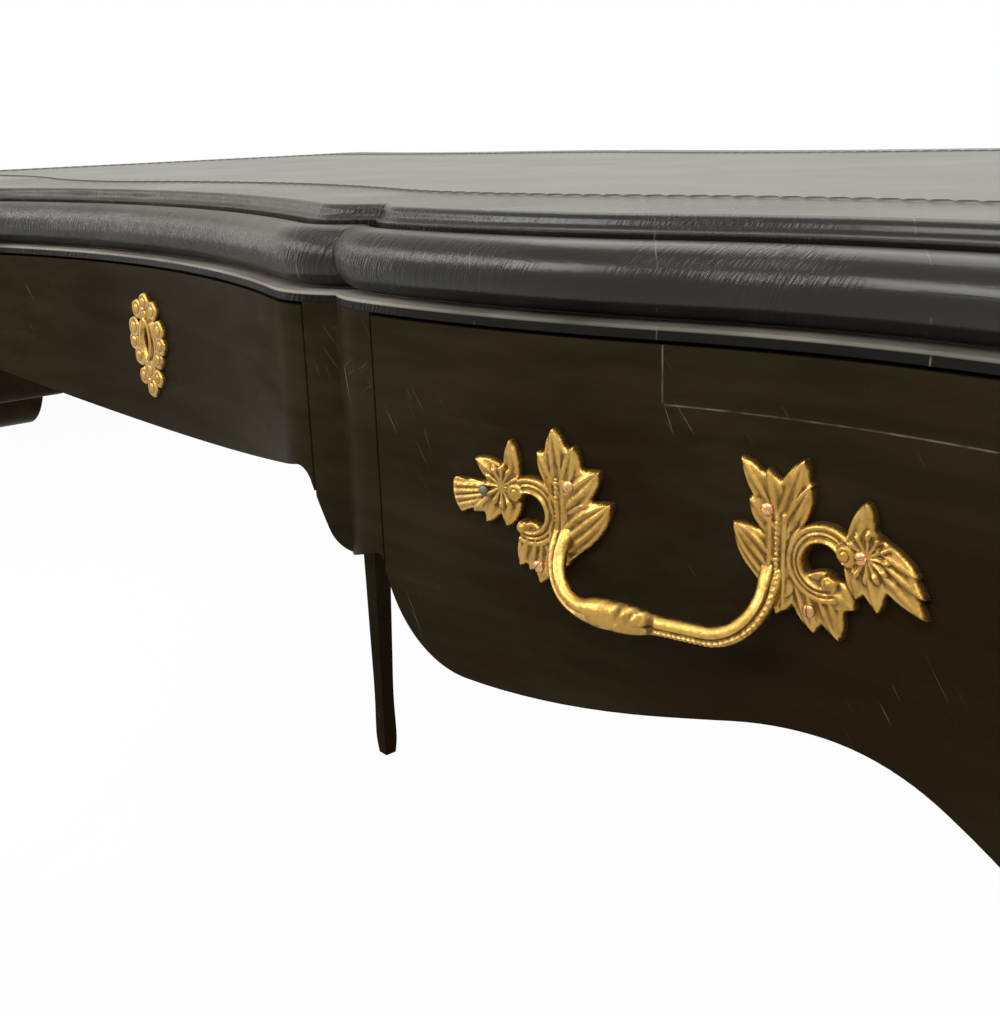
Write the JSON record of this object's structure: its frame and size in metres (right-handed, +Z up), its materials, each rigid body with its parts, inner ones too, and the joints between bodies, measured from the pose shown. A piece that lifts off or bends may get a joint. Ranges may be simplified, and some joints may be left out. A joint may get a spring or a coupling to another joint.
{
  "type": "writing table",
  "caption": "Serpentine writing table with a leather-inset top, moulded mitred edge, cabriole legs, frieze drawers and cast brass rocaille pulls.",
  "frame": {"origin": "on the floor, under the middle of the top", "axes": "+X to the right along the length, +Y to the back, +Z up; the drawers open towards -Y"},
  "size_m": [1.3862, 0.6724, 0.78],
  "materials": {
    "ebonised_wood": "black stained and polished veneer with a soft gloss",
    "leather": "dark hide with a blind-tooled rope border",
    "drawer_wood": "plain unpolished oak",
    "gilt_brass": "chased and worn gilt castings",
    "steel": "dull, aged"
  },
  "bodies": {
    "carcass": {"apron_left": "ebonised_wood", "apron_right": "ebonised_wood", "back_panel_centre": "ebonised_wood", "back_panel_left": "ebonised_wood", "back_panel_right": "ebonised_wood", "drawer_stops": "drawer_wood", "escutcheon_back": "gilt_brass", "leather_inset": "leather", "leg_back_left": "ebonised_wood", "leg_back_right": "ebonised_wood", "leg_front_left": "ebonised_wood", "leg_front_right": "ebonised_wood", "moulding_back_centre": "ebonised_wood", "moulding_back_left": "ebonised_wood", "moulding_back_right": "ebonised_wood", "moulding_front_centre": "ebonised_wood", "moulding_front_left": "ebonised_wood", "moulding_front_right": "ebonised_wood", "moulding_left_end": "ebonised_wood", "moulding_right_end": "ebonised_wood", "mount_screws_back": "gilt_brass", "partition_left": "drawer_wood", "partition_right": "drawer_wood", "post_back_left": "ebonised_wood", "post_back_right": "ebonised_wood", "post_front_left": "ebonised_wood", "post_front_right": "ebonised_wood", "pull_back_left": "gilt_brass", "pull_back_right": "gilt_brass", "runners_centre": "drawer_wood", "runners_left": "drawer_wood", "runners_right": "drawer_wood", "top_cleats": "drawer_wood", "top_panel": "ebonised_wood", "top_screws": "steel"},
    "left_drawer": {"left_drawer_back": "drawer_wood", "left_drawer_bottom": "drawer_wood", "left_drawer_front": "ebonised_wood", "left_drawer_left_side": "drawer_wood", "left_drawer_right_side": "drawer_wood", "pull_left": "gilt_brass", "pull_screws_left": "gilt_brass"},
    "centre_drawer": {"centre_drawer_back": "drawer_wood", "centre_drawer_bottom": "drawer_wood", "centre_drawer_front": "ebonised_wood", "centre_drawer_left_side": "drawer_wood", "centre_drawer_right_side": "drawer_wood", "escutcheon": "gilt_brass", "escutcheon_pins": "gilt_brass", "lock_bolt": "steel", "lock_case": "steel", "lock_screws": "steel"},
    "right_drawer": {"pull_right": "gilt_brass", "pull_screws_right": "gilt_brass", "right_drawer_back": "drawer_wood", "right_drawer_bottom": "drawer_wood", "right_drawer_front": "ebonised_wood", "right_drawer_left_side": "drawer_wood", "right_drawer_right_side": "drawer_wood"}
  },
  "joints": [
    {"name": "left_drawer_slide", "type": "slide", "parent": "carcass", "child": "left_drawer", "axis": [0, -1, 0], "range_m": [0, 0.35]},
    {"name": "centre_drawer_slide", "type": "slide", "parent": "carcass", "child": "centre_drawer", "axis": [0, -1, 0], "range_m": [0, 0.35]},
    {"name": "right_drawer_slide", "type": "slide", "parent": "carcass", "child": "right_drawer", "axis": [0, -1, 0], "range_m": [0, 0.35]}
  ]
}
